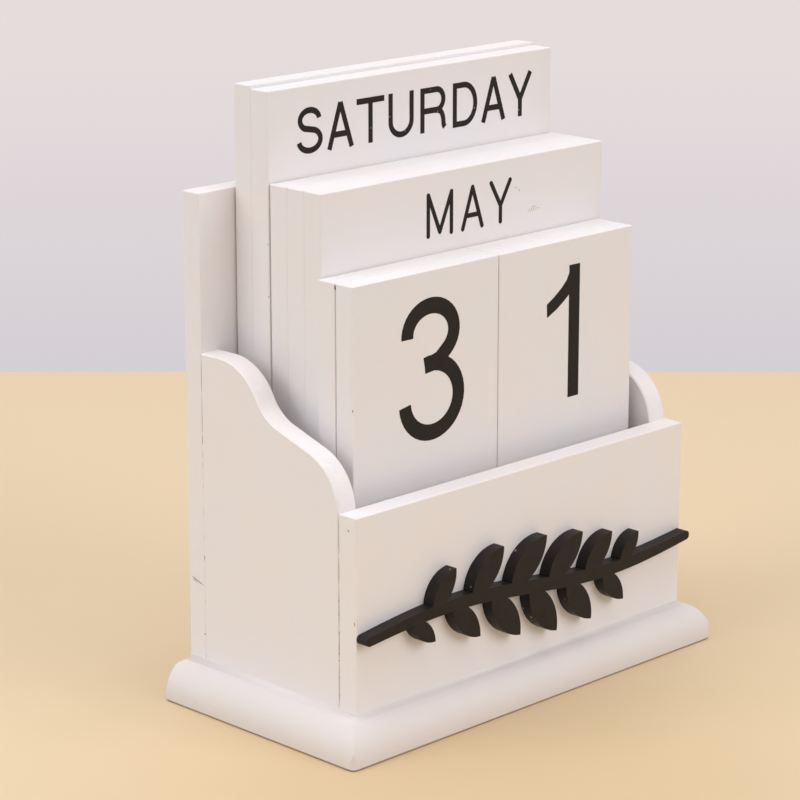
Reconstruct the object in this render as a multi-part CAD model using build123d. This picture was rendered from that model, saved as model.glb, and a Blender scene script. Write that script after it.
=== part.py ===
"""Perpetual desk calendar: an open-top tray on a moulded base, holding nine loose date planks.

Millimetres, +Z up, front of the tray towards -Y. The origin is the middle of the base's underside.
Every panel is its own solid; the planks stand on the base in three stepped rows and lift straight out.
"""
import os
from math import atan, cos, degrees, pi, radians, sin

from build123d import *

# --- boards and clearances --------------------------------------------------------------------
BOARD_T = 7.0           # thickness of the tray's four walls
BASE_T = 11.7           # thickness of the base board
PLANK_T = 6.9           # thickness of a date plank
ROW_GAP = 0.45          # air behind each row: at the back wall, and between two rows
EDGE_EASE = 0.35        # sanded edges of walls and planks

# --- date planks ------------------------------------------------------------------------------
PLANK_W = 118.4         # full-width plank: weekdays and months
ROW_PLANKS = {"weekday": ("rear", "front"),
              "month": ("rear", "mid", "front"),
              "digit": ("rear", "front")}
PLANK_GAP = {"weekday": 0.15, "month": 0.15, "digit": 0.3}     # air between the planks of a row
COLUMN_GAP = 0.3        # air between the two columns of digits
DIGIT_SHOWS = 61.4      # digits seen above the front wall
MONTH_SHOWS = 23.8      # strip of the month row above the digits
WEEKDAY_SHOWS = 27.2    # strip of the weekday row above the months
CUT_STEP = 0.9          # the front weekday plank is cut this much shorter than the rear one
LEFT_ROOM = {"weekday": 6.6, "month": 6.8, "digit": 4.8}        # left wall to the row's end

# --- tray -------------------------------------------------------------------------------------
RIGHT_ROOM = 0.8        # least room between a row and the right wall
FRONT_ROOM = 6.1        # room between the digit row and the front wall
FRONT_H = 59.0          # front wall above the base
BACK_H = 141.4          # back wall above the base
SIDE_H = 94.7           # side wall above the base, at the back wall

# --- scalloped top of a side wall, from the back wall forward ---------------------------------
LEVEL_L = 7.4           # level stretch at the back wall
SHOULDER_R = 18.2
SHOULDER_TURN = 61.0    # degrees turned downwards by the shoulder
HOLLOW_R = 14.8
SLOPE = 18.0            # degrees below level, of the straight that the hollow runs out into
NOSE_R = 16.9           # rounds the straight down into the front end
SCALLOP_EASE = 0.4      # sanded arris along the scalloped edge

# --- base -------------------------------------------------------------------------------------
BASE_LIP = 8.2          # base beyond the tray at the left and the right
BASE_LIP_FRONT = 7.0
BASE_LIP_BACK = 2.0
SIDE_R, SIDE_TURN = 10.7, 52.0      # rounded moulding on the left, front and right edges: a wide arc up
TOP_R = 5.5                         # the side, then a tighter one over the top
CORNER_R = 1.6          # front corners of the base, in plan
BACK_R = 1.8            # top back edge of the base
FOOT_EASE = 0.6         # bottom edge of the base

# --- cut-out sprig on the front wall ----------------------------------------------------------
SPRIG_T = 4.0
SPRIG_DROP = 5.8        # stem's mean height below the middle of the front wall
SPRIG_WAVE = 2.6        # rise and fall of the stem
STEM_MID, STEM_TIP = 4.2, 2.8       # width of the stem at its middle and at its tips
LEAVES = 12
LEAF_PITCH = 8.1        # along the stem, sides taken in turn
LEAF_L, LEAF_W = 20.5, 8.6          # longest leaf, in the middle
LEAF_END_L = 12.3       # shortest leaf, next to the tips
LEAF_LEAN = 47.0        # degrees between a leaf and the stem

# --- derived sizes ----------------------------------------------------------------------------
STACK_D = sum(ROW_GAP + len(places) * PLANK_T + (len(places) - 1) * PLANK_GAP[row]
              for row, places in ROW_PLANKS.items())
INNER_W = max(LEFT_ROOM.values()) + PLANK_W + RIGHT_ROOM
INNER_D = STACK_D + FRONT_ROOM
TRAY_W = INNER_W + 2 * BOARD_T
TRAY_D = INNER_D + 2 * BOARD_T
BASE_W = TRAY_W + 2 * BASE_LIP
BASE_D = TRAY_D + BASE_LIP_FRONT + BASE_LIP_BACK

FRONT_Y = -BASE_D / 2 + BASE_LIP_FRONT      # outer face of the front wall
INNER_FRONT_Y = FRONT_Y + BOARD_T
INNER_BACK_Y = INNER_FRONT_Y + INNER_D      # front face of the back wall

ROW_H = {"digit": FRONT_H + DIGIT_SHOWS}    # plank heights; each row tops the one in front of it
ROW_H["month"] = ROW_H["digit"] + MONTH_SHOWS
ROW_H["weekday"] = ROW_H["month"] + WEEKDAY_SHOWS
DIGIT_W = (PLANK_W - COLUMN_GAP) / 2               # two digit planks side by side fill a full width


def eased_board(x, y, width, depth, height):
    """Board standing on the base with its left front corner at (x, y); all edges but the foot sanded."""
    board = Pos(x, y, BASE_T) * Box(width, depth, height, align=(Align.MIN, Align.MIN, Align.MIN))
    foot = board.edges().group_by(Axis.Z)[0]
    return fillet([edge for edge in board.edges() if edge not in foot], EDGE_EASE)


def moulded_section(left, right, both_sides):
    """Upright section of the base board; the moulding rounds its left end, and its right end if asked."""
    turn = radians(SIDE_TURN)
    spring = BASE_T - SIDE_R * sin(turn) - TOP_R * (1 - sin(turn))      # where the moulding starts to round
    with BuildSketch() as section:
        with BuildLine():
            foot_left = Line((left, 0), (left, spring))
            side_left = JernArc(foot_left @ 1, (0, 1), SIDE_R, -SIDE_TURN)
            top_left = JernArc(side_left @ 1, side_left % 1, TOP_R, SIDE_TURN - 90)
            foot = Line((left, 0), (right, 0))
            if both_sides:
                foot_right = Line(foot @ 1, (right, spring))
                side_right = JernArc(foot_right @ 1, (0, 1), SIDE_R, SIDE_TURN)
                top_right = JernArc(side_right @ 1, side_right % 1, TOP_R, 90 - SIDE_TURN)
                Line(top_left @ 1, top_right @ 1)
            else:
                Polyline(top_left @ 1, (right, BASE_T), foot @ 1)
        make_face()
    return section.sketch


def base_plate():
    """Base board: rounded moulding on three edges with mitred corners, softened back and underside."""
    across = Plane.XZ * moulded_section(-BASE_W / 2, BASE_W / 2, True)
    along = Plane.YZ * moulded_section(-BASE_D / 2, BASE_D / 2, False)
    board = extrude(across, BASE_D / 2, both=True) & extrude(along, BASE_W / 2, both=True)
    plan = Box(BASE_W, BASE_D, BASE_T, align=(Align.CENTER, Align.CENTER, Align.MIN))
    plan = fillet(plan.edges().filter_by(Axis.Z).group_by(Axis.Y)[0], CORNER_R)
    plan = fillet(plan.edges().group_by(Axis.Z)[-1].sort_by(Axis.Y)[-1], BACK_R)
    return board & fillet(plan.edges().group_by(Axis.Z)[0], FOOT_EASE)


def side_panel(x):
    """Side wall between the front and back walls; its top falls forward in one tangent sweep."""
    top = BASE_T + SIDE_H
    turn, slope = radians(SHOULDER_TURN), radians(SLOPE)
    arcs_run = SHOULDER_R * sin(turn) + HOLLOW_R * (sin(turn) - sin(slope)) + NOSE_R * (1 - sin(slope))
    straight_l = (INNER_D - LEVEL_L - arcs_run) / cos(slope)
    with BuildPart() as wall:
        with BuildSketch(Plane.YZ.offset(x)):
            with BuildLine():
                level = Line((INNER_BACK_Y, top), (INNER_BACK_Y - LEVEL_L, top))
                shoulder = JernArc(level @ 1, level % 1, SHOULDER_R, SHOULDER_TURN)
                hollow = JernArc(shoulder @ 1, shoulder % 1, HOLLOW_R, SLOPE - SHOULDER_TURN)
                straight = Line(hollow @ 1, hollow @ 1 + (hollow % 1) * straight_l)
                nose = JernArc(straight @ 1, straight % 1, NOSE_R, 90 - SLOPE)
                Polyline(nose @ 1, (INNER_FRONT_Y, BASE_T), (INNER_BACK_Y, BASE_T), level @ 0)
            make_face()
        extrude(amount=BOARD_T)
        rims = wall.edges().filter_by(Axis.X, reverse=True).filter_by(Axis.Z, reverse=True)
        chamfer([rim for rim in rims if rim not in rims.group_by(Axis.Z)[0]], SCALLOP_EASE)
    return wall.part


def leaf(x, z, heading, length):
    """Pointed leaf outline with its base at (x, z), lying along heading in degrees."""
    half = LEAF_W / 2 * length / LEAF_L
    outline = (ThreePointArc((0, 0), (length / 2, half), (length, 0))
               + ThreePointArc((length, 0), (length / 2, -half), (0, 0)))
    return Pos(x, z) * Rot(0, 0, heading) * make_face(outline)


def sprig():
    """Leafy sprig cut from thin board, glued flat on the front wall and as wide as the wall."""
    half, mean = (TRAY_W - STEM_TIP) / 2, BASE_T + FRONT_H / 2 - SPRIG_DROP
    stations = 13

    def stem(x):
        return mean - SPRIG_WAVE * sin(pi * x / half)

    def slope(x):
        return -SPRIG_WAVE * pi / half * cos(pi * x / half)

    def half_width(x):
        return (STEM_TIP + (STEM_MID - STEM_TIP) * cos(pi / 2 * x / half)) / 2

    xs = [-half + 2 * half * i / (stations - 1) for i in range(stations)]
    upper = Spline([(x, stem(x) + half_width(x)) for x in xs])
    lower = Spline([(x, stem(x) - half_width(x)) for x in reversed(xs)])
    right_tip = ThreePointArc(upper @ 1, (half + STEM_TIP / 2, stem(half)), lower @ 0)
    left_tip = ThreePointArc(lower @ 1, (-half - STEM_TIP / 2, stem(-half)), upper @ 0)
    outline = make_face(upper + right_tip + lower + left_tip)
    for i in range(LEAVES):
        place = 2 * i / (LEAVES - 1) - 1        # -1 at the left of the leaves, 1 at the right
        x = place * (LEAVES - 1) / 2 * LEAF_PITCH - LEAF_L * cos(radians(LEAF_LEAN)) / 2
        length = LEAF_END_L + (LEAF_L - LEAF_END_L) * cos(pi / 2 * place)
        side = 1 if i % 2 else -1
        outline += leaf(x, stem(x), side * LEAF_LEAN + degrees(atan(slope(x))), length)
    return Plane.XZ.offset(-FRONT_Y) * extrude(outline, SPRIG_T)


def date_planks():
    """The loose planks, rear row first, as {name: solid}."""
    planks, y = {}, INNER_BACK_Y
    for row, places in ROW_PLANKS.items():
        left = LEFT_ROOM[row] - INNER_W / 2
        for place in places:
            y -= PLANK_T + (ROW_GAP if place == places[0] else PLANK_GAP[row])
            if row == "digit":
                planks[f"digit_plank_left_{place}"] = eased_board(left, y, DIGIT_W, PLANK_T, ROW_H[row])
                planks[f"digit_plank_right_{place}"] = eased_board(left + DIGIT_W + COLUMN_GAP, y, DIGIT_W,
                                                                   PLANK_T, ROW_H[row])
            else:
                cut = CUT_STEP if (row, place) == ("weekday", "front") else 0
                planks[f"{row}_plank_{place}"] = eased_board(left, y, PLANK_W, PLANK_T, ROW_H[row] - cut)
    return planks


parts = {
    "base_plate": base_plate(),
    "back_panel": eased_board(-TRAY_W / 2, INNER_BACK_Y, TRAY_W, BOARD_T, BACK_H),
    "side_panel_left": side_panel(-TRAY_W / 2),
    "side_panel_right": side_panel(TRAY_W / 2 - BOARD_T),
    "front_panel": eased_board(-TRAY_W / 2, FRONT_Y, TRAY_W, BOARD_T, FRONT_H),
    "front_sprig": sprig(),
    **date_planks(),
}

os.makedirs("parts", exist_ok=True)
for name, shape in parts.items():
    export_step(shape, f"parts/{name}.step")
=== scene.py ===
"""Looks of the desk calendar: paint, lettering, table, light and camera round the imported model.

Metres, in the frame of the model: +Z up, front towards -Y, origin in the middle of the base's underside.
"""
import math
import random

import bmesh
import bpy
from mathutils import Matrix, Vector

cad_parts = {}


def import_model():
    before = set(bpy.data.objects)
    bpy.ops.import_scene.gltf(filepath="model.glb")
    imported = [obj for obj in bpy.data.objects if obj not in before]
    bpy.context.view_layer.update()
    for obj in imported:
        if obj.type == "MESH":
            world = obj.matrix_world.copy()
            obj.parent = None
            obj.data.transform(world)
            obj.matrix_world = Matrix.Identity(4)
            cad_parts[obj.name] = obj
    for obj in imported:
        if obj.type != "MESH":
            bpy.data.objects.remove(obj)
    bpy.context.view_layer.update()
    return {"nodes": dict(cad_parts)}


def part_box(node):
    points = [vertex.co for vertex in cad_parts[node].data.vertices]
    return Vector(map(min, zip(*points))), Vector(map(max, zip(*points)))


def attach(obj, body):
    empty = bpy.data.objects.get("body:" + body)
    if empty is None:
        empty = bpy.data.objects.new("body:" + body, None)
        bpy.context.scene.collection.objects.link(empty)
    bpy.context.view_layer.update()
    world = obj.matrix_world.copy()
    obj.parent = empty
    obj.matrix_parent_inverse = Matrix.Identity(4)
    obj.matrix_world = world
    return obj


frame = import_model()
scene = bpy.context.scene
MM = 0.001


def rgba(r, g, b):
    """8-bit display colour to linear."""
    def linear(c):
        c /= 255
        return c / 12.92 if c <= 0.04045 else ((c + 0.055) / 1.055) ** 2.4
    return (linear(r), linear(g), linear(b), 1.0)


# --- camera -----------------------------------------------------------------------------------
# fitted to the corners of the base, the walls and the planks in the photograph
FRAME_PX = 800              # width of the photograph
FOCAL_PX = 2977.5           # focal length in its pixels
SENSOR = 36.0               # millimetres
AZIMUTH, ELEVATION = -45.06, 15.23          # degrees, from the front (-Y) and up
TARGET = Vector((-20.16, -0.15, 88.86)) * MM
DISTANCE = 872.16 * MM

# --- table and wall ---------------------------------------------------------------------------
TABLE_BACK = 0.357          # table edge behind the object, along the view
TABLE_FRONT = 0.60          # table edge before it
TABLE_HALF_W = 0.55
TABLE_T = 0.025
TABLE_SHADOW_SPOT = (-0.056, -0.069, 0.0)     # middle of the painted shadow, darker and warmer, on the table before the object
TABLE_SHADOW_FADE = (0.05, 0.15)              # distances between which it fades out
TABLE_CLOUD = dict(scale=9.0, detail=3.0, roughness=0.5)
TABLE_MOTTLE = 0.05         # share of cloudiness in the fade
TABLE_ROUGH, TABLE_GLOSS = 0.55, 0.3        # roughness, specular level
# the first tone is the painted shadow before the object, the second the bare table
TABLE_SHADOW_TONE, TABLE_PALE = rgba(217, 191, 151), rgba(228, 204, 169)
TABLE_BOUNCE = rgba(213, 190, 152)          # what the object's own light sees of the table
WALL_FADE = (-0.26, -0.15)  # upward part of the view direction, from the table's edge up
WALL_LOW, WALL_HIGH = rgba(211, 206, 213), rgba(229, 220, 220)

# --- light ------------------------------------------------------------------------------------
WORLD_LIGHT = 0.36          # strength of the even light all round
LAMP_AIM = Vector((0, 0, 0.09))
# name: azimuth, elevation, distance, (width, height), watts, colour
LAMPS = {"softbox_top": (-100, 84, 2.4, (2.6, 2.2), 37.0, (0.97, 0.98, 0.99)),
         "softbox_left": (-108, 30, 2.6, (1.8, 1.8), 24.6, (0.93, 0.96, 0.99)),
         "softbox_front": (18, 28, 2.8, (2.0, 1.6), 27.8, (1.0, 0.985, 1.0))}

# --- paint ------------------------------------------------------------------------------------
BASE_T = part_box("base_plate")[1].z
WALL_TONES = rgba(242, 234, 233), rgba(239, 235, 237)       # warm, cool
PLANK_TONES = rgba(241, 234, 233), rgba(238, 235, 236)
BASE_TONES = rgba(231, 222, 220), rgba(229, 223, 223)
# painted reflected light from the moulding: the walls go cooler and lighter towards their foot
WALL_FOOT_REFLECTED_LIGHT = (30 * MM, 12 * MM, rgba(240, 236, 241))         # from height, to height, other tone
# painted contact shadow: dark brown along the base's lowest edge
BASE_FOOT_SHADOW = (0.7 * MM, 0.1 * MM, rgba(128, 108, 90))
BEAD_TOP = (BASE_T, BASE_T + 1.4 * MM, rgba(240, 234, 235))
PLANK_SEED, BASE_SEED = 0.57, 0.31
PATTERN_SHIFT = (1.0, 0.7, 0.3)             # metres that a seed of 1 shifts the pattern
CLOUD = dict(scale=34.0, detail=3.0, roughness=0.55)        # slow changes of tone
FINE = dict(scale=260.0, detail=3.0, roughness=0.6)         # quick changes of tone and gloss
WEAR_AND_HIGHLIGHT_PATCHES = dict(scale=190.0, detail=4.0, roughness=0.7)        # where an arris is lighter, for wear and as a painted highlight
PEEL = dict(scale=900.0, detail=2.0, roughness=0.5)
CLOUD_SHARE, FINE_SHARE = 0.8, 0.2
TONE_RANGE = (0.38, 0.62)   # noise values between which the tone goes from warm to cool
ARRIS_TURN = (0.985, 0.80)  # largest part of the normal, from a flat face to an arris
WEAR_AND_HIGHLIGHT_RANGE = (0.50, 0.62)
# lighter tone of the arrises and how far they go to it: wear, and a painted highlight along them
WORN_AND_HIGHLIGHT_TONE, WORN_AND_HIGHLIGHT_STRENGTH = rgba(250, 247, 242), 0.35
SPECK_TONE, SPECK_STRENGTH = rgba(150, 138, 124), 0.45
SPECKS = dict(channel=0, scale=95.0, above=0.955, edge=(0.035, 0.02))
PEEL_HEIGHT, CLOUD_HEIGHT = 0.6, 2.0        # their shares in the relief
PAINT_BUMP = {"Strength": 0.35, "Distance": 0.08 * MM}
PAINT_ROUGH, PAINT_GLOSS = (0.44, 0.56), 0.35
ROUGH_RANGE = (0.3, 0.7)    # noise values between which the roughness changes

# --- black paint, print and marks -------------------------------------------------------------
BLACK_TONE, BLACK_PEEL, BLACK_ROUGH = rgba(19, 14, 11), 700.0, (0.42, 0.56)
PRINT_TONE, PRINT_PEEL, PRINT_ROUGH = rgba(20, 14, 10), 1500.0, (0.55, 0.68)
INK_CLOUD = dict(scale=220.0, detail=3.0, roughness=0.6)
INK_RANGE = (0.35, 0.7)     # noise values between which the black gets lighter
INK_LIFT = 2.2              # how many times lighter it gets
PINHOLE_TONE, PINHOLE_STRENGTH = rgba(196, 186, 176), 0.55
PINHOLES = dict(channel=1, scale=480.0, above=0.94, edge=(0.22, 0.12))
INK_BUMP = {"Strength": 0.4, "Distance": 0.06 * MM}
INK_GLOSS = 0.25
CRACK_TONES = rgba(88, 74, 64), rgba(122, 106, 94)
SMUDGE_TONES = rgba(170, 152, 138), rgba(192, 178, 166)
MARK_NOISE = dict(scale=1400.0, detail=2.0, roughness=0.6)
MARK_RANGE = (0.3, 0.7)
MARK_ROUGH, MARK_GLOSS = 0.8, 0.1

# --- lettering --------------------------------------------------------------------------------
INK_T = 0.05 * MM           # how proud the printing stands
INK_SUNK = 0.04 * MM        # how far it goes into the plank
PLACES = (("front", "up"), ("front", "down"), ("back", "up"), ("back", "down"))
# texts of each plank, in the order of PLACES
WEEKDAYS = {"weekday_plank_front": ("SATURDAY", "SUNDAY", "", "MONDAY"),
            "weekday_plank_rear": ("TUESDAY", "WEDNESDAY", "FRIDAY", "")}
MONTHS = {"month_plank_front": ("MAY", "JUNE", "", "AUGUST"),
          "month_plank_mid": ("SEPTEMBER", "OCTOBER", "NOVEMBER", "DECEMBER"),
          "month_plank_rear": ("JANUARY", "FEBRUARY", "MARCH", "APRIL")}
DIGITS = {"digit_plank_left_front": "3012", "digit_plank_left_rear": "0312",
          "digit_plank_right_front": "1245", "digit_plank_right_rear": "6789"}
WEEKDAY_CAP, MONTH_CAP, DIGIT_H = 13.4 * MM, 12.0 * MM, 42.2 * MM       # heights
WEEKDAY_DROP, MONTH_DROP, DIGIT_DROP = 6.3 * MM, 6.4 * MM, 7.9 * MM     # plank end to the text
WEEKDAY_STROKE, MONTH_STROKE, DIGIT_STROKE = 0.130, 0.119, 0.113        # in text heights
WEEKDAY_SHIFT, MONTH_SHIFT = 1.4 * MM, 0.7 * MM                         # off the plank's middle
DIGIT_SHIFT = {"1": -1.7 * MM, "3": 1.9 * MM}
WEEKDAY_SPACING, MONTH_SPACING = 0.045, 0.16
LINE_SHARE = 0.86           # share of a plank's width that a word may take
ROOM_OPEN, ROOM_ROUND, ROOM_STRAIGHT = 0.02, 0.065, 0.10        # room beside a letter, in text heights
BOWL_REACH = 0.92           # how deep a bowl is, as a share of a half circle
ARC_STEP = 9                # degrees
ARC_LEAST = 4               # steps of even the shortest arc
CURVE_STEPS = 5
CAP_STEPS = 8
MITRE_LEAST = 0.5           # limits the widening of a stroke at a sharp bend
SAME_POINT = 1e-6           # a stroke whose ends are nearer than this is closed

# --- paint films and paint bead ---------------------------------------------------------------
FILM_UNDER = 0.015 * MM     # the film lies this far under the end and top faces
FILM_DEEP = 0.40 * MM       # and goes this far into the plank, past its sanded arris
FILM_PROUD = 0.05 * MM      # how far it stands into the air between the planks
FILM_PAIRS = (("weekday_plank_rear", "weekday_plank_front"), ("month_plank_rear", "month_plank_mid"),
              ("month_plank_mid", "month_plank_front"))
BEAD_R = 1.6 * MM           # hollow of the paint between wall and moulding
BEAD_SUNK = 0.3 * MM        # depth hidden in wall and base
BEAD_STEPS = 16
MOULDING_W = 7.5 * MM       # the base's moulding and its top arc, as in the model
MOULDING_TOP_R = 5.5 * MM

# --- open joints, nicks and smudges -----------------------------------------------------------
MARK_PROUD = 0.03 * MM      # marks reach this far out of the face and into it
SLIVER_SKEW = 0.8           # makes a mark's two flanks unlike
WIDTH_SPREAD = (0.75, 1.15)
# joints: depth under the wall's outer face, distance from the seam, distance under the top,
# and for joint_line the width, the lengths of the open runs and the lengths of the gaps between them
FRONT_JOINT_AT = (0.10 * MM, -0.12 * MM, 0.6 * MM)
FRONT_JOINT = dict(width=0.26 * MM, run=(6 * MM, 16 * MM), skip=(0.1 * MM, 0.5 * MM))
BACK_JOINT_AT = (0.04 * MM, 0.06 * MM, 0.5 * MM)
BACK_JOINT = dict(width=0.22 * MM, run=(5 * MM, 12 * MM), skip=(0.2 * MM, 0.8 * MM))
BACK_JOINT_FOOT = dict(width=0.16 * MM, run=(0.6 * MM, 4 * MM), skip=(1.0 * MM, 7 * MM))
BACK_JOINT_OPEN_TO, BACK_JOINT_FAINT_FROM = 79 * MM, 77 * MM            # heights
FRONT_SEED, BACK_SEED, TICK_SEED, FOOT_SEED = 11, 21, 31, 41
TICK_COUNT = 9              # short cracks across the front joint
TICK_HEIGHTS = (15 * MM, 46 * MM)
TICK_REACH = (0.25 * MM, 0.55 * MM)
TICK_TILT = 0.2 * MM
TICK_W = 0.22 * MM
# marks in millimetres: start (y, or x on the month plank, then z), end (the same), width
SIDE_NICKS = (
    (36.9, 37.8, 31.4, 36.0, 0.24), (36.2, 37.0, 34.2, 36.5, 0.16), (31.5, 21.1, 31.0, 20.8, 0.35),
    (30.9, 45.3, 30.7, 44.2, 0.2), (-29.4, 66.9, -30.1, 66.3, 0.3), (-31.9, 40.4, -32.2, 39.2, 0.25))
MONTH_SMUDGE = (
    (22.9, 146.9, 23.9, 146.6, 0.22), (24.8, 145.9, 25.4, 145.6, 0.30), (28.8, 138.4, 30.0, 139.5, 0.14),
    (29.9, 138.3, 31.0, 139.9, 0.16), (31.0, 138.4, 32.0, 139.8, 0.16), (32.0, 138.6, 32.9, 139.4, 0.14),
    (30.3, 139.9, 33.0, 140.0, 0.12), (33.2, 139.3, 34.3, 139.1, 0.12))
END_NICKS = {
    "digit_plank_left_front": ((-12.55, 131.5, -12.7, 130.2, 0.55), (-19.4, 97.0, -19.5, 96.2, 0.3)),
    "weekday_plank_front": ((16.7, 123.4, 16.6, 122.8, 0.18), (16.9, 138.6, 16.7, 138.1, 0.16))}


# ==============================================================================================
# node helpers
# ==============================================================================================
def material(name):
    mat = bpy.data.materials.new(name)
    mat.use_nodes = True
    mat.node_tree.nodes.clear()
    return mat


class Tree:
    """Short-hand for building a node tree."""

    def __init__(self, mat):
        self.nodes, self.links = mat.node_tree.nodes, mat.node_tree.links

    def add(self, kind, inputs=None, **settings):
        node = self.nodes.new("ShaderNode" + kind)
        for key, value in settings.items():
            setattr(node, key, value)
        for key, value in (inputs or {}).items():
            socket = node.inputs[key]
            if isinstance(value, bpy.types.NodeSocket):
                self.links.new(value, socket)
            else:
                socket.default_value = value
        return node

    def math(self, operation, *values, clamp=False):
        return self.add("Math", dict(enumerate(values)), operation=operation, use_clamp=clamp).outputs[0]

    def mix(self, factor, first, second):
        return self.add("Mix", {0: factor, 6: first, 7: second}, data_type="RGBA").outputs[2]

    def ramp(self, factor, low, high, to_low=0.0, to_high=1.0):
        return self.add("MapRange", {0: factor, 1: low, 2: high, 3: to_low, 4: to_high}).outputs[0]

    def noise(self, vector, scale, detail, roughness):
        settings = {"Vector": vector, "Scale": scale, "Detail": detail, "Roughness": roughness}
        return self.add("TexNoise", settings).outputs["Fac"]

    def dots(self, vector, channel, scale, above, edge):
        """Lone round dots, in the few Voronoi cells whose random value lies above the limit."""
        cells = self.add("TexVoronoi", {"Vector": vector, "Scale": scale, "Randomness": 1.0})
        value = self.add("SeparateColor", {0: cells.outputs["Color"]}).outputs[channel]
        lone = self.math("GREATER_THAN", value, above)
        return self.math("MULTIPLY", self.ramp(cells.outputs["Distance"], *edge), lone)

    def surface(self, inputs):
        """Principled shader with these inputs, as the material's surface."""
        shader = self.add("BsdfPrincipled", inputs)
        self.add("OutputMaterial", {"Surface": shader.outputs[0]})


def seen_rays(t):
    """1 for what the camera, gloss and glass see, 0 for the light that falls on the object."""
    path = t.add("LightPath")
    direct = t.math("ADD", path.outputs["Is Camera Ray"], path.outputs["Is Glossy Ray"])
    return t.math("ADD", direct, path.outputs["Is Transmission Ray"], clamp=True)


def paint(name, warm, cool, seed=0.0, worn_and_highlight=WORN_AND_HIGHLIGHT_STRENGTH, change=None):
    """Satin white paint on board: cloudy tone, orange peel, a few specks, and arrises made lighter
    in patches, for wear and as a painted highlight.

    seed shifts the pattern, and worn_and_highlight is how far an arris goes to that lighter tone. change is
    (from height, to height, other tone) for a tone that changes with the height: painted reflected light
    low on the walls, a painted contact shadow at the base's foot and the wall's tone at the top of the paint
    bead.
    """
    mat = material(name)
    t = Tree(mat)
    coords = t.add("TexCoord")
    shift = [seed * part for part in PATTERN_SHIFT]
    place = t.add("Mapping", {"Vector": coords.outputs["Object"], "Location": shift}).outputs[0]
    cloud, fine = t.noise(place, **CLOUD), t.noise(place, **FINE)
    tone = t.math("ADD", t.math("MULTIPLY", cloud, CLOUD_SHARE), t.math("MULTIPLY", fine, FINE_SHARE))
    colour = t.mix(t.ramp(tone, *TONE_RANGE), warm, cool)
    # tone that changes with the height; it carries the walls' painted reflected light and the base's painted
    # contact shadow
    if change:
        start, end, other = change
        height = t.add("SeparateXYZ", {0: coords.outputs["Object"]}).outputs[2]
        colour = t.mix(t.ramp(height, start, end), colour, other)

    normal = t.add("SeparateXYZ", {0: coords.outputs["Normal"]})
    x, y, z = (t.math("ABSOLUTE", normal.outputs[i]) for i in range(3))
    arris = t.ramp(t.math("MAXIMUM", t.math("MAXIMUM", x, y), z), *ARRIS_TURN)
    wear_and_highlight = t.ramp(t.noise(place, **WEAR_AND_HIGHLIGHT_PATCHES), *WEAR_AND_HIGHLIGHT_RANGE)
    # arrises lighter in patches: wear, and a painted highlight along them
    colour = t.mix(t.math("MULTIPLY", t.math("MULTIPLY", arris, wear_and_highlight), worn_and_highlight), colour, WORN_AND_HIGHLIGHT_TONE)
    colour = t.mix(t.math("MULTIPLY", t.dots(place, **SPECKS), SPECK_STRENGTH), colour, SPECK_TONE)

    peel = t.math("MULTIPLY", t.noise(place, **PEEL), PEEL_HEIGHT)
    relief = t.math("ADD", peel, t.math("MULTIPLY", cloud, CLOUD_HEIGHT))
    bump = t.add("Bump", {"Height": relief, **PAINT_BUMP})
    t.surface({"Base Color": colour, "Roughness": t.ramp(fine, *ROUGH_RANGE, *PAINT_ROUGH),
               "Normal": bump.outputs[0], "Specular IOR Level": PAINT_GLOSS})
    return mat


def ink(name, tone, peel_scale, rough):
    """Matt black with tiny pale pinholes."""
    mat = material(name)
    t = Tree(mat)
    coords = t.add("TexCoord").outputs["Object"]
    cloud = t.noise(coords, **INK_CLOUD)
    lighter = tuple(c * INK_LIFT for c in tone[:3]) + (1.0,)
    colour = t.mix(t.ramp(cloud, *INK_RANGE), tone, lighter)
    colour = t.mix(t.math("MULTIPLY", t.dots(coords, **PINHOLES), PINHOLE_STRENGTH), colour, PINHOLE_TONE)
    relief = t.noise(coords, **{**PEEL, "scale": peel_scale})
    bump = t.add("Bump", {"Height": relief, **INK_BUMP})
    t.surface({"Base Color": colour, "Roughness": t.ramp(cloud, *ROUGH_RANGE, *rough),
               "Normal": bump.outputs[0], "Specular IOR Level": INK_GLOSS})
    return mat


def mark_tone(name, tone, other):
    """Dull colour of cracks and smudges."""
    mat = material(name)
    t = Tree(mat)
    coords = t.add("TexCoord").outputs["Object"]
    colour = t.mix(t.ramp(t.noise(coords, **MARK_NOISE), *MARK_RANGE), tone, other)
    t.surface({"Base Color": colour, "Roughness": MARK_ROUGH, "Specular IOR Level": MARK_GLOSS})
    return mat


def coat(name):
    """Material of a node of the model."""
    if name == "front_sprig":
        return BLACK
    if name == "base_plate":
        return BASE
    return PLANK if "plank" in name else WALL


# the walls' paint holds painted reflected light low down
WALL = paint("paint_wall", *WALL_TONES, change=WALL_FOOT_REFLECTED_LIGHT)
PLANK = paint("paint_plank", *PLANK_TONES, seed=PLANK_SEED)
# the base's paint holds a painted contact shadow at its foot
BASE = paint("paint_base", *BASE_TONES, seed=BASE_SEED, worn_and_highlight=0.0, change=BASE_FOOT_SHADOW)
BEAD = paint("paint_bead", *BASE_TONES, seed=BASE_SEED, worn_and_highlight=0.0, change=BEAD_TOP)
BLACK = ink("paint_black", BLACK_TONE, BLACK_PEEL, BLACK_ROUGH)
INK = ink("print_black", PRINT_TONE, PRINT_PEEL, PRINT_ROUGH)
CRACK = mark_tone("joint_dark", *CRACK_TONES)
SMUDGE = mark_tone("joint_faint", *SMUDGE_TONES)

for name, node in frame["nodes"].items():
    node.data.materials.clear()
    node.data.materials.append(coat(name))


# ==============================================================================================
# meshes and pieces
# ==============================================================================================
def turn_out(bm):
    """Turns all faces outwards."""
    bmesh.ops.recalc_face_normals(bm, faces=bm.faces[:])


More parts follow.
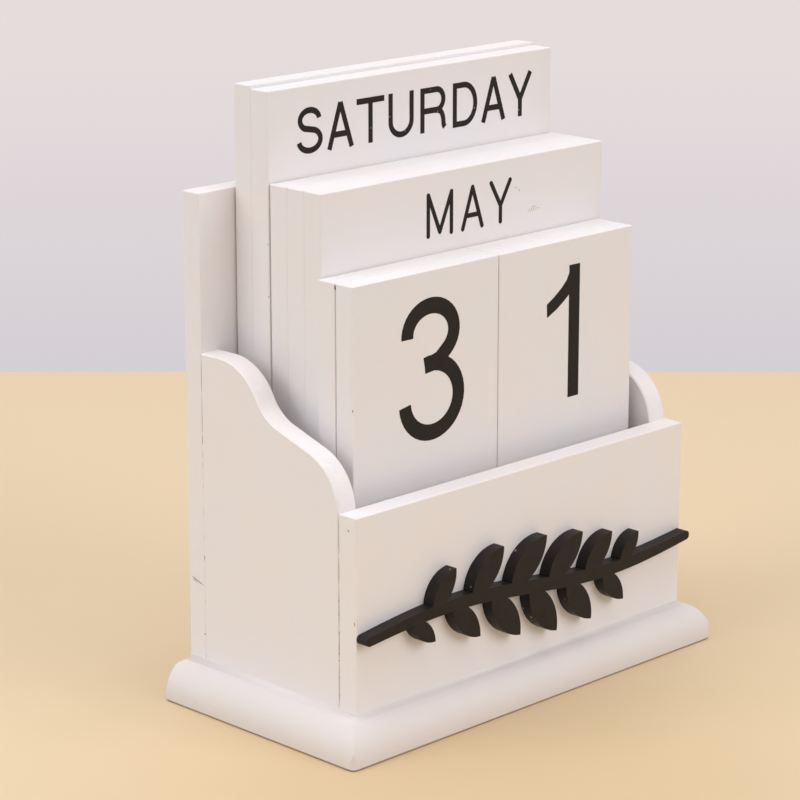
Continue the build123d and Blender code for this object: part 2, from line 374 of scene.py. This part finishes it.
def thicken(bm, shift):
    """Turns a flat patch into a slab, from where it lies to shift away."""
    made = bmesh.ops.extrude_face_region(bm, geom=bm.faces[:])
    for v in made["geom"]:
        if isinstance(v, bmesh.types.BMVert):
            v.co += shift
    turn_out(bm)


def mesh_of(bm, name):
    mesh = bpy.data.meshes.new(name)
    bm.to_mesh(mesh)
    bm.free()
    return mesh


def piece(name, bm, mat, body):
    """One piece of the scene, which rides on a body and takes a material slot."""
    obj = bpy.data.objects.new(name, mesh_of(bm, name))
    obj.data.materials.append(mat)
    scene.collection.objects.link(obj)
    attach(obj, body)


# ==============================================================================================
# lettering: every glyph is a set of strokes along centre lines, one unit high
# ==============================================================================================
def oval(cx, cy, rx, ry, start, stop):
    """Points along an ellipse, angles in degrees from +x, counter-clockwise."""
    count = max(ARC_LEAST, round(abs(stop - start) / ARC_STEP))
    turns = (math.radians(start + (stop - start) * i / count) for i in range(count + 1))
    return [(cx + rx * math.cos(a), cy + ry * math.sin(a)) for a in turns]


def smooth(*points):
    """Catmull-Rom curve through the points."""
    pts = [Vector(p) for p in points]
    pts = [2 * pts[0] - pts[1]] + pts + [2 * pts[-1] - pts[-2]]
    out = []
    for p0, p1, p2, p3 in zip(pts, pts[1:], pts[2:], pts[3:]):
        for i in range(CURVE_STEPS):
            u = i / CURVE_STEPS
            out.append(tuple(0.5 * (2 * p1 + (p2 - p0) * u + (2 * p0 - 5 * p1 + 4 * p2 - p3) * u * u
                                    + (3 * p1 - p0 - 3 * p2 + p3) * u ** 3)))
    return out + [tuple(pts[-2])]


def letters(w, rounded=False):
    """{letter: (width, strokes)} for a stroke width w; a stroke is a list of points on its centre line.

    Rounded ends reach past the height's 0 and 1, and then the lowest and highest bars lie there as well.
    """
    h = w / 2
    b, t = (0, 1) if rounded else (h, 1 - h)

    def bowl(x, reach, top, bottom):
        """Half-round bowl from the stem at x out to reach and back."""
        ry = (top - bottom) / 2
        rx = ry * BOWL_REACH
        return [(x, top)] + oval(reach - rx, (top + bottom) / 2, rx, ry, 90, -90) + [(x, bottom)]

    def stem(x):
        return [(x, 0), (x, 1)]

    def bar(y, x0, x1):
        return [(x0, y), (x1, y)]

    n = 0.80                    # common width
    return {
        "A": (n, [[(h, 0), (n / 2, 1)], [(n - h, 0), (n / 2, 1)], bar(0.31, 0.2, n - 0.2)]),
        "B": (0.76, [stem(h), bowl(h, 0.70 - h, t, 0.53), bowl(h, 0.76 - h, 0.53, b)]),
        "C": (0.86, [oval(0.43, 0.5, 0.43 - h, t - 0.5, 42, 318)]),
        "D": (0.79, [stem(h), [(h, t)] + oval(0.36, 0.5, 0.43 - h, t - 0.5, 90, -90) + [(h, b)]]),
        "E": (0.68, [stem(h), bar(t, h, 0.67), bar(0.52, h, 0.62), bar(b, h, 0.68)]),
        "F": (0.64, [stem(h), bar(t, h, 0.64), bar(0.50, h, 0.58)]),
        "G": (0.88, [oval(0.43, 0.5, 0.43 - h, t - 0.5, 42, 350), bar(0.45, 0.50, 0.88),
                     [(0.88 - h, 0.45), (0.88 - h, 0.04)]]),
        "H": (n, [stem(h), stem(n - h), bar(0.52, h, n - h)]),
        "I": (w, [stem(h)]),
        "J": (0.52, [[(0.52 - h, 1)] + oval(0.26, 0.27, 0.26 - h, 0.27 - b, 0, -165)]),
        "L": (0.58, [stem(h), bar(b, h, 0.58)]),
        "M": (0.92, [stem(h), stem(0.92 - h), [(h, 1), (0.46, 0.06)], [(0.92 - h, 1), (0.46, 0.06)]]),
        "N": (0.78, [stem(h), stem(0.78 - h), [(h, 1 - h * 0.6), (0.78 - h, h * 0.6)]]),
        "O": (0.90, [oval(0.45, 0.5, 0.45 - h, t - 0.5, 0, 360)]),
        "P": (0.74, [stem(h), bowl(h, 0.74 - h, t, 0.46)]),
        "R": (0.82, [stem(h), bowl(h, 0.79 - h, t, 0.48),
                     smooth((0.42, 0.48), (0.58, 0.46), (0.67, 0.40), (0.72, 0.28), (0.74, 0.12),
                            (0.78, b))]),
        "S": (0.76, [oval(0.38, (t + 0.52) / 2, 0.345 - h, (t - 0.52) / 2, 5, 238)
                     + oval(0.38, (0.52 + b) / 2, 0.38 - h, (0.52 - b) / 2, 62, -172)]),
        "T": (0.84, [stem(0.42), bar(t, 0, 0.84)]),
        "U": (0.78, [[(h, 1)] + oval(0.39, 0.37, 0.39 - h, 0.37 - b, 180, 360) + [(0.78 - h, 1)]]),
        "V": (n, [[(h, 1), (n / 2, 0)], [(n - h, 1), (n / 2, 0)]]),
        "W": (1.16, [[(h, 1), (0.31, 0)], [(0.58, 1), (0.31, 0)], [(0.58, 1), (0.85, 0)],
                     [(1.16 - h, 1), (0.85, 0)]]),
        "Y": (n, [[(h, 1), (n / 2, 0.40)], [(n - h, 1), (n / 2, 0.40)], [(n / 2, 0), (n / 2, 0.46)]]),
    }


def digits(w):
    """{digit: (width, strokes)} for a stroke width w, as in letters."""
    h, t = w / 2, 1 - w / 2
    six = smooth((0.52, 0.77), (0.47, 0.88), (0.34, t), (0.20, 0.89), (0.10, 0.72), (h, 0.46), (0.08, 0.23),
                 (0.17, 0.09), (0.31, h), (0.46, 0.11), (0.545, 0.28), (0.51, 0.46), (0.41, 0.56),
                 (0.28, 0.57), (0.15, 0.50), (h + 0.005, 0.36))
    return {
        "0": (0.60, [oval(0.30, 0.5, 0.30 - h, t - 0.5, 0, 360)]),
        "1": (0.34, [[(0.288, 0.035), (0.288, 0.999)]]),
        "2": (0.60, [smooth((0.07, 0.73), (0.10, 0.84), (0.19, 0.92), (0.32, t), (0.45, 0.90), (0.52, 0.77),
                            (0.48, 0.63), (0.36, 0.46), (0.20, 0.27), (0.09, 0.11), (0.075, h)),
                     [(0.02, h), (0.58, h)]]),
        "3": (0.635, [oval(0.305, 0.755, 0.225, t - 0.755, 184, -48)
                      + [(0.385, 0.560), (0.315, 0.540), (0.247, 0.533)],
                      oval(0.317, 0.30, 0.317 - 0.057, 0.30 - h, 106, -175)]),
        "4": (0.60, [[(0.43, 0), (0.43, 1)], [(0.41, 0.97), (0.05, 0.27)], [(0, 0.27), (0.60, 0.27)]]),
        "5": (0.60, [[(0.11, t), (0.54, t)], [(0.14, 0.96), (0.085, 0.50)],
                     smooth((0.07, 0.52), (0.18, 0.60), (0.31, 0.625), (0.46, 0.56), (0.54, 0.42),
                            (0.545, 0.28), (0.47, 0.12), (0.32, h), (0.17, 0.085), (0.09, 0.17),
                            (0.062, 0.265))]),
        "6": (0.60, [six]),
        "7": (0.58, [[(0, t), (0.58, t)], smooth((0.53, 0.93), (0.38, 0.62), (0.26, 0.30), (0.21, 0.0))]),
        "8": (0.60, [oval(0.30, 0.755, 0.205, t - 0.755, 0, 360),
                     oval(0.30, 0.31, 0.30 - h, 0.31 - h, 0, 360)]),
        "9": (0.60, [[(0.60 - x, 1 - y) for x, y in six]]),
    }


# flag of the figure one: a band that steepens towards the top of the stem
FLAG = ((0.0, 0.751), (0.004, 0.655), (0.10, 0.700), (0.169, 0.743), (0.228, 0.785), (0.27, 0.83),
        (0.31, 0.92), (0.33, 0.9985), (0.268, 0.999), (0.237, 0.955), (0.203, 0.8945), (0.15, 0.845),
        (0.08, 0.797))


def stroke(bm, points, w, rounded):
    """Flat ribbon of width w along the points; a closed line gives a ring."""
    pts = [Vector(p) for p in points]
    closed = (pts[0] - pts[-1]).length < SAME_POINT
    if closed:
        pts.pop()
    count = len(pts)
    sides = []
    for i, p in enumerate(pts):
        before = pts[i - 1] if closed or i else p
        after = pts[(i + 1) % count] if closed or i < count - 1 else p
        along = (after - before).normalized()
        half = Vector((-along.y, along.x)) * w / 2
        if 0 < i < count - 1 and not closed:
            bend = (p - before).normalized().dot(along)
            half /= max(bend, MITRE_LEAST)
        sides.append([bm.verts.new((*(p + s * half), 0)) for s in (1, -1)])
    pairs = list(zip(sides, sides[1:] + ([sides[0]] if closed else [])))
    for (a, b), (c, d) in pairs:
        bm.faces.new((a, b, d, c))
    if rounded and not closed:
        round_cap(bm, pts[0], pts[1], *sides[0])
        round_cap(bm, pts[-1], pts[-2], *sides[-1])


def round_cap(bm, end, inner, left, right):
    """Half-round end of a ribbon, between its last two vertices."""
    out = (end - inner).normalized()
    start = Vector(left.co[:2]) - end
    turn = -1 if start.x * out.y - start.y * out.x < 0 else 1
    fan = []
    for i in range(1, CAP_STEPS):
        a = math.pi * i / CAP_STEPS * turn
        fan.append(bm.verts.new((end.x + start.x * math.cos(a) - start.y * math.sin(a),
                                 end.y + start.x * math.sin(a) + start.y * math.cos(a), 0)))
    bm.faces.new([left] + fan + [right])


def united(meshes):
    """One mesh from several overlapping slabs."""
    objects = [bpy.data.objects.new("slab", mesh) for mesh in meshes]
    for obj in objects:
        scene.collection.objects.link(obj)
    for other in objects[1:]:
        join = objects[0].modifiers.new("join", "BOOLEAN")
        join.operation, join.solver, join.object = "UNION", "EXACT", other
    bpy.context.view_layer.update()
    joined = objects[0].evaluated_get(bpy.context.evaluated_depsgraph_get())
    result = bpy.data.meshes.new_from_object(joined)
    for obj in objects:
        mesh = obj.data
        bpy.data.objects.remove(obj)
        bpy.data.meshes.remove(mesh)
    return result


def typeface(table, w, rounded=False):
    """{letter: (width, mesh)}, one unit high and one unit thick."""
    made = {}
    for sign, (width, strokes) in table.items():
        patches = []
        for points in strokes:
            bm = bmesh.new()
            stroke(bm, points, w, rounded)
            patches.append(bm)
        if sign == "1":
            bm = bmesh.new()
            bm.faces.new([bm.verts.new((x, y, 0)) for x, y in FLAG])
            patches.append(bm)
        for bm in patches:
            thicken(bm, Vector((0, 0, 1)))
        made[sign] = (width, united([mesh_of(bm, "slab") for bm in patches]))
    return made


def room(sign, side):
    """Room kept before (side 0) or after (side 1) a letter, in letter heights, without the line's spacing."""
    if sign in "AVWTY":
        return ROOM_OPEN
    if sign in "COGSUJ" or (side == 1 and sign in "BDPREFL"):
        return ROOM_ROUND
    return ROOM_STRAIGHT


def set_out(text, faces, spacing):
    """Where each letter starts, and the line's length, in letter heights."""
    x, starts = 0.0, []
    for i, sign in enumerate(text):
        if i:
            x += room(text[i - 1], 1) + room(sign, 0) + spacing
        starts.append(x)
        x += faces[sign][0]
    return starts, x


def line_of(text, faces, height, spacing, longest):
    """A line of text as one bmesh, centred on x = 0, baseline on y = 0, front at z = INK_T.

    A word longer than longest is set tighter.
    """
    starts, length = set_out(text, faces, spacing)
    if length * height > longest:
        tighter = (length - longest / height) / (len(text) - 1)
        starts, length = set_out(text, faces, spacing - tighter)
    thickness = Matrix.Diagonal((height, height, INK_T + INK_SUNK, 1))
    bm = bmesh.new()
    for start, sign in zip(starts, text):
        added = faces[sign][1].copy()
        added.transform(Matrix.Translation((0, 0, -INK_SUNK)) @ thickness
                        @ Matrix.Translation((start - length / 2, 0, 0)))
        bm.from_mesh(added)
        bpy.data.meshes.remove(added)
    return bm


def on_plank(bm, node, face, end, middle_x, baseline):
    """Stands a line of text on a plank's front or back face, upright for the end that it belongs to."""
    low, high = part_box(node)
    bm.transform(Matrix.Rotation(math.radians(90), 4, "X"))         # the text now faces -Y
    if end == "down":
        bm.transform(Matrix.Rotation(math.pi, 4, "Y"))
    if face == "back":
        bm.transform(Matrix.Rotation(math.pi, 4, "Z"))
    y = low.y if face == "front" else high.y
    z = high.z - baseline if end == "up" else low.z + baseline
    bm.transform(Matrix.Translation((middle_x, y, z)))
    return mesh_of(bm, "line")


def letter_plank(node, texts, faces, height, drop, spacing, shifts):
    """One piece of lettering for a plank, with its texts in the order of PLACES."""
    low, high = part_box(node)
    bm = bmesh.new()
    for text, shift, (face, end) in zip(texts, shifts, PLACES):
        if text:
            side = 1 if (face == "front") == (end == "up") else -1
            patch = line_of(text, faces, height, spacing, LINE_SHARE * (high.x - low.x))
            mesh = on_plank(patch, node, face, end, (low.x + high.x) / 2 + side * shift, drop + height)
            bm.from_mesh(mesh)
            bpy.data.meshes.remove(mesh)
    piece("letters_" + node, bm, INK, node)


weekday_faces = typeface(letters(WEEKDAY_STROKE), WEEKDAY_STROKE)
month_faces = typeface(letters(MONTH_STROKE, rounded=True), MONTH_STROKE, rounded=True)
digit_faces = typeface(digits(DIGIT_STROKE), DIGIT_STROKE)
for node, texts in WEEKDAYS.items():
    shifts = [WEEKDAY_SHIFT] * len(texts)
    letter_plank(node, texts, weekday_faces, WEEKDAY_CAP, WEEKDAY_DROP, WEEKDAY_SPACING, shifts)
for node, texts in MONTHS.items():
    shifts = [MONTH_SHIFT] * len(texts)
    letter_plank(node, texts, month_faces, MONTH_CAP, MONTH_DROP, MONTH_SPACING, shifts)
for node, texts in DIGITS.items():
    shifts = [DIGIT_SHIFT.get(sign, 0.0) for sign in texts]
    letter_plank(node, texts, digit_faces, DIGIT_H, DIGIT_DROP, 0.0, shifts)


# ==============================================================================================
# paint built up along the planks' arrises, where two planks of a row stand together
# ==============================================================================================
def paint_film(node, face):
    """Film up one end, over the top and down the other end, along the plank's front or back face."""
    low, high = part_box(node)
    outline = []
    for inset in (FILM_UNDER, FILM_DEEP):
        left, right, top = low.x + inset, high.x - inset, high.z - inset
        arch = [(left, low.z), (left, top), (right, top), (right, low.z)]
        outline += arch if inset == FILM_UNDER else arch[::-1]
    side, y = (-1, low.y) if face == "front" else (1, high.y)
    bm = bmesh.new()
    bm.faces.new([bm.verts.new((x, y + side * FILM_PROUD, z)) for x, z in outline])
    thicken(bm, Vector((0, -side * (FILM_PROUD + FILM_DEEP), 0)))
    piece("film_" + node + "_" + face, bm, PLANK, node)


for behind, ahead in FILM_PAIRS:
    paint_film(behind, "front")
    paint_film(ahead, "back")


# ==============================================================================================
# paint bead at the foot of the walls
# ==============================================================================================
def bead_section(lip):
    """Points (out from the wall, up) of the bead, the hollow first, for a base that stands out by lip."""
    arc = Vector((lip - MOULDING_W, BASE_T - MOULDING_TOP_R))       # middle of the moulding's top arc
    rise = math.sqrt((MOULDING_TOP_R + BEAD_R) ** 2 - (BEAD_R - arc.x) ** 2)
    centre = Vector((BEAD_R, arc.y + rise))
    last = math.atan2(arc.y - centre.y, arc.x - centre.x)
    turns = [-math.pi + (last + math.pi) * i / BEAD_STEPS for i in range(BEAD_STEPS + 1)]
    hollow = [centre + BEAD_R * Vector((math.cos(a), math.sin(a))) for a in turns]
    return hollow + [hollow[-1] - Vector((0, BEAD_SUNK)), hollow[0] - Vector((BEAD_SUNK, BEAD_R)),
                     hollow[0] - Vector((BEAD_SUNK, 0))]


def paint_bead():
    """Soft hollow of paint where the left, front and right walls meet the base."""
    low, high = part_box("base_plate")
    wall_low, wall_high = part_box("front_panel")
    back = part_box("back_panel")[1].y
    side, front = bead_section(high.x - wall_high.x), bead_section(wall_low.y - low.y)
    bm = bmesh.new()
    rings = []
    for sign, corner in ((-1, False), (-1, True), (1, True), (1, False)):
        ring = []
        for s, f in zip(side, front):
            y, z = (wall_low.y - f.x, min(s.y, f.y)) if corner else (back, s.y)
            ring.append(bm.verts.new((sign * (wall_high.x + s.x), y, z)))
        rings.append(ring)
    count = len(side)
    for first, second in zip(rings, rings[1:]):
        for i in range(count):
            j = (i + 1) % count
            face = bm.faces.new((first[i], first[j], second[j], second[i]))
            face.smooth = i < BEAD_STEPS
    bm.faces.new(rings[0])
    bm.faces.new(rings[-1][::-1])
    turn_out(bm)
    piece("paint_bead", bm, BEAD, "tray")


paint_bead()


# ==============================================================================================
# open joints, nicks and smudges
# ==============================================================================================
def sliver(bm, start, end, width, out):
    """Thin pointed mark from start to end, on a surface with the outward normal out."""
    side = (end - start).cross(out).normalized() * width / 2
    quarter = (end - start) / 4
    ring = [start, start + quarter - side, end - quarter - side * SLIVER_SKEW,
            end, end - quarter + side, start + quarter + side * SLIVER_SKEW]
    low = [bm.verts.new(p - out * MARK_PROUD) for p in ring]
    high = [bm.verts.new(p + out * MARK_PROUD) for p in ring]
    bm.faces.new(low)
    bm.faces.new(high[::-1])
    for i in range(len(ring)):
        j = (i + 1) % len(ring)
        bm.faces.new((low[i], high[i], high[j], low[j]))


def joint_line(name, start, end, out, mat, seed, width, run, skip):
    """Hairline of an open joint, broken where the paint bridges it; run and skip are length ranges."""
    rng = random.Random(seed)
    bm = bmesh.new()
    length, along, at = (end - start).length, (end - start).normalized(), 0.0
    while at < length:
        reach = min(rng.uniform(*run), length - at)
        sliver(bm, start + along * at, start + along * (at + reach), width * rng.uniform(*WIDTH_SPREAD), out)
        at += reach + rng.uniform(*skip)
    turn_out(bm)
    piece(name, bm, mat, "tray")


def joint_ticks(name, x, y, out, seed):
    """Short cracks that cross a joint, scattered down its length."""
    rng = random.Random(seed)
    bm = bmesh.new()
    for _ in range(TICK_COUNT):
        z = rng.uniform(*TICK_HEIGHTS)
        reach = rng.uniform(*TICK_REACH)
        tilt = rng.uniform(-TICK_TILT, TICK_TILT)
        sliver(bm, Vector((x, y - reach, z - tilt)), Vector((x, y + reach, z + tilt)), TICK_W, out)
    turn_out(bm)
    piece(name, bm, CRACK, "tray")


def joints():
    """The side walls' joints with the front and back walls, as both sides show them."""
    front_low, front_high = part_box("front_panel")
    back_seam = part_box("back_panel")[0].y
    side_low, side_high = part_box("side_panel_left")
    for side, sign in (("left", -1), ("right", 1)):
        out = Vector((sign, 0, 0))
        depth, off, under = FRONT_JOINT_AT
        x, y = sign * (front_high.x - depth), front_high.y + off
        joint_line("joint_front_" + side, Vector((x, y, front_high.z - under)),
                   Vector((x, y, front_low.z + BEAD_R)), out, CRACK, FRONT_SEED + sign, **FRONT_JOINT)
        joint_ticks("joint_ticks_" + side, x, y, out, TICK_SEED + sign)
        depth, off, under = BACK_JOINT_AT
        x, y = sign * (front_high.x - depth), back_seam + off
        joint_line("joint_back_" + side, Vector((x, y, side_high.z - under)),
                   Vector((x, y, BACK_JOINT_OPEN_TO)), out, CRACK, BACK_SEED + sign, **BACK_JOINT)
        joint_line("joint_back_foot_" + side, Vector((x, y, BACK_JOINT_FAINT_FROM)),
                   Vector((x, y, side_low.z + BEAD_R)), out, SMUDGE, FOOT_SEED + sign, **BACK_JOINT_FOOT)


def marks(name, listed, axis, place, mat, body):
    """Listed marks on the flat face at place, which looks to -X (axis 0) or -Y (axis 1)."""
    out = Vector((0, 0, 0))
    out[axis] = -1
    bm = bmesh.new()
    for from_side, from_z, to_side, to_z, width in listed:
        start = Vector((from_side, from_side, from_z)) * MM
        end = Vector((to_side, to_side, to_z)) * MM
        start[axis] = end[axis] = place
        sliver(bm, start, end, width * MM, out)
    turn_out(bm)
    piece(name, bm, mat, body)


def wear():
    """The few nicks and smudges that the paint has on the shown sides."""
    tray_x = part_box("front_panel")[0].x
    marks("nicks_side", SIDE_NICKS, 0, tray_x, CRACK, "tray")
    month_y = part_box("month_plank_front")[0].y
    marks("smudge_month", MONTH_SMUDGE, 1, month_y, SMUDGE, "month_plank_front")
    for node, listed in END_NICKS.items():
        marks("nicks_" + node, listed, 0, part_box(node)[0].x, CRACK, node)


joints()
wear()


# ==============================================================================================
# table, light, camera
# ==============================================================================================
def aim(obj, target, azimuth, elevation, distance):
    """Links a camera or lamp into the scene, away from the target and turned to it; azimuth 0 is in front."""
    a, e = math.radians(azimuth), math.radians(elevation)
    back = Vector((math.sin(a) * math.cos(e), -math.cos(a) * math.cos(e), math.sin(e)))
    scene.collection.objects.link(obj)
    obj.location = target + back * distance
    obj.rotation_mode = "QUATERNION"
    obj.rotation_quaternion = (-back).to_track_quat("-Z", "Y")


def camera():
    data = bpy.data.cameras.new("camera")
    data.sensor_width = SENSOR
    data.lens = SENSOR * FOCAL_PX / FRAME_PX
    scene.camera = bpy.data.objects.new("camera", data)
    aim(scene.camera, TARGET, AZIMUTH, ELEVATION, DISTANCE)


def table_tone():
    """Pale table with a painted shadow, darker and warmer, before the object."""
    mat = material("table_tone")
    t = Tree(mat)
    coords = t.add("TexCoord").outputs["Object"]
    cloud = t.math("MULTIPLY", t.noise(coords, **TABLE_CLOUD), TABLE_MOTTLE)
    # painted shadow: the table goes darker and warmer towards the spot before the object
    away = t.add("VectorMath", {0: coords, 1: TABLE_SHADOW_SPOT}, operation="DISTANCE").outputs["Value"]
    seen = t.mix(t.math("ADD", t.ramp(away, *TABLE_SHADOW_FADE), cloud), TABLE_SHADOW_TONE, TABLE_PALE)
    t.surface({"Base Color": t.mix(seen_rays(t), TABLE_BOUNCE, seen), "Roughness": TABLE_ROUGH,
               "Specular IOR Level": TABLE_GLOSS})
    return mat


def table():
    """Plain table top, square to the view."""
    corners = ((-1, -TABLE_FRONT), (1, -TABLE_FRONT), (1, TABLE_BACK), (-1, TABLE_BACK))
    bm = bmesh.new()
    bm.faces.new([bm.verts.new((side * TABLE_HALF_W, y, 0)) for side, y in corners])
    thicken(bm, Vector((0, 0, -TABLE_T)))
    bm.transform(Matrix.Rotation(math.radians(AZIMUTH), 4, "Z"))
    obj = bpy.data.objects.new("table_top", mesh_of(bm, "table_top"))
    obj.data.materials.append(table_tone())
    scene.collection.objects.link(obj)


def area_light(name, azimuth, elevation, distance, size, watts, colour):
    data = bpy.data.lights.new(name, "AREA")
    data.shape = "RECTANGLE"
    data.size, data.size_y = size
    data.energy = watts
    data.color = colour
    aim(bpy.data.objects.new(name, data), LAMP_AIM, azimuth, elevation, distance)


def world():
    """Even light all round; the camera sees a pale wall that darkens a little towards the table."""
    made = bpy.data.worlds.new("room")
    scene.world = made
    made.use_nodes = True
    made.node_tree.nodes.clear()
    t = Tree(made)
    light = t.add("Background", {"Color": (1.0, 1.0, 1.0, 1.0), "Strength": WORLD_LIGHT})
    height = t.add("SeparateXYZ", {0: t.add("TexCoord").outputs["Generated"]}).outputs[2]
    wall = t.add("Background", {"Color": t.mix(t.ramp(height, *WALL_FADE), WALL_LOW, WALL_HIGH)})
    mixed = t.add("MixShader", {0: seen_rays(t), 1: light.outputs[0], 2: wall.outputs[0]})
    t.add("OutputWorld", {"Surface": mixed.outputs[0]})


camera()
table()
world()
for name, settings in LAMPS.items():
    area_light(name, *settings)

scene.view_settings.view_transform = "Standard"
